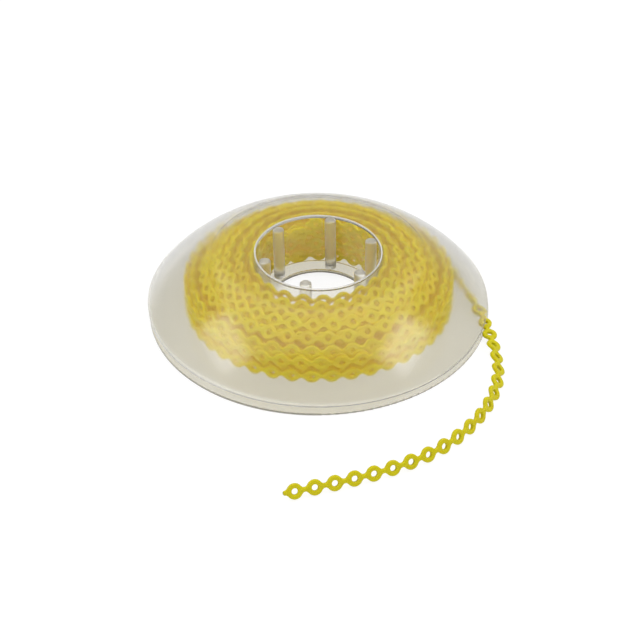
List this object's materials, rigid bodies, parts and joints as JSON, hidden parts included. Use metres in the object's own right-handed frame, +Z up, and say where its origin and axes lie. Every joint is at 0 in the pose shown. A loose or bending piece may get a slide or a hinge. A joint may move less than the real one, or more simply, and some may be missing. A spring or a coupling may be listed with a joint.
{
  "type": "elastomer chain dispenser spool",
  "caption": "Round flat spool with a frosted domed lid that lifts off hub posts, a winding of flat ring chain that turns on the hub, and a free chain tail leaving under the rim.",
  "frame": {"origin": "centre of the underside of the lower shell, on the hub axis and on the table", "axes": "+Z up along the hub axis; +X towards the side of the rim where the chain leaves; the chain's free end lies towards -Y"},
  "size_m": [0.0664, 0.0874, 0.013],
  "materials": {
    "clear_shell": "translucent moulded polypropylene, glossy",
    "frosted_shell": "milky translucent moulded polypropylene, soft gloss",
    "clear_hub": "clear moulded plastic, polished",
    "chain": "smooth yellow elastomer, satin"
  },
  "bodies": {
    "base": {"lower_shell": "clear_shell", "hub_post_1": "clear_hub", "hub_post_2": "clear_hub", "hub_post_3": "clear_hub", "hub_post_4": "clear_hub", "hub_post_5": "clear_hub", "hub_post_6": "clear_hub", "chain_tail": "chain"},
    "lid": {"upper_shell": "frosted_shell", "hub_wall": "clear_hub"},
    "reel": {"chain_row_1": "chain", "chain_row_2": "chain", "chain_row_3": "chain", "chain_row_4": "chain"}
  },
  "joints": [
    {"name": "lid_lift", "type": "slide", "parent": "base", "child": "lid", "axis": [0, 0, 1], "range_m": [0, 0.016]},
    {"name": "reel_turn", "type": "hinge", "parent": "base", "child": "reel", "pos_m": [0, 0, 0.006], "axis": [0, 0, 1], "continuous": true}
  ]
}
